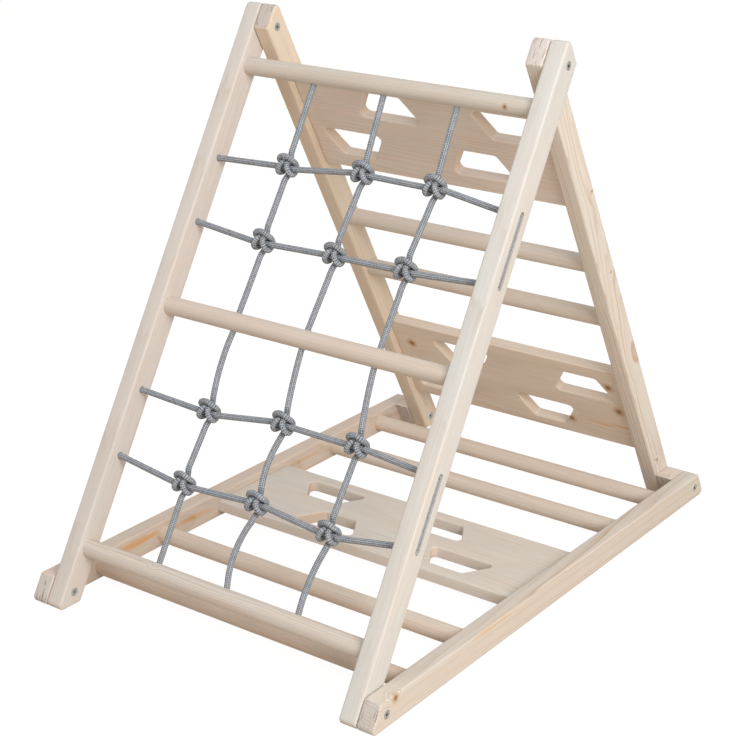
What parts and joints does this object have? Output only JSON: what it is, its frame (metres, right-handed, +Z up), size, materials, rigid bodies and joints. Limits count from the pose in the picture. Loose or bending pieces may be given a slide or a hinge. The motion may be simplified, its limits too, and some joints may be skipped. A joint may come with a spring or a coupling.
{
  "type": "climbing triangle",
  "caption": "Wooden climbing triangle for children, with a rope net side, a slatted side with boards and hand holds, and a flat base frame.",
  "frame": {"origin": "on the floor, at the middle of the base frame", "axes": "+X to the right as seen from the net side, +Y from the net side to the slatted side, +Z up"},
  "size_m": [0.67, 1.0368, 0.9003],
  "materials": {
    "rail_wood": "bare",
    "rung_wood": "bare",
    "board_wood": "bare",
    "rope": "braided",
    "zinc_steel": "zinc plated"
  },
  "bodies": {
    "base_frame": {"base_rail_left": "rail_wood", "base_rail_right": "rail_wood", "base_spacer_left": "rail_wood", "base_spacer_right": "rail_wood", "base_rung_1": "rung_wood", "base_rung_2": "rung_wood", "base_rung_3": "rung_wood", "base_rung_4": "rung_wood", "base_board": "board_wood", "front_pivot_screws": "zinc_steel", "front_pivot_sleeves": "zinc_steel", "rear_screws": "zinc_steel"},
    "net_frame": {"front_rail_left": "rail_wood", "front_rail_right": "rail_wood", "front_rung_bottom": "rung_wood", "front_rung_middle": "rung_wood", "front_rung_top": "rung_wood", "rope_row_1": "rope", "rope_row_2": "rope", "rope_row_3": "rope", "rope_row_4": "rope", "rope_column_left": "rope", "rope_column_centre": "rope", "rope_column_right": "rope", "top_pivot_screws": "zinc_steel", "top_pivot_sleeves": "zinc_steel"},
    "back_frame": {"back_rail_left": "rail_wood", "back_rail_right": "rail_wood", "back_rung_lower": "rung_wood", "back_rung_upper": "rung_wood", "back_board_bottom": "board_wood", "back_board_top": "board_wood", "rear_sleeves": "zinc_steel"}
  },
  "joints": [
    {"name": "front_corner_pivot", "type": "hinge", "parent": "base_frame", "child": "net_frame", "pos_m": [0, -0.48603, 0.0225], "axis": [-1, 0, 0], "range_deg": [0, 36]},
    {"name": "top_corner_pivot", "type": "hinge", "parent": "net_frame", "child": "back_frame", "pos_m": [0, 0, 0.86433], "axis": [1, 0, 0], "range_deg": [0, 72]}
  ],
  "couplings": [
    {"joint": "top_corner_pivot", "follows": "front_corner_pivot", "ratio": 2}
  ]
}
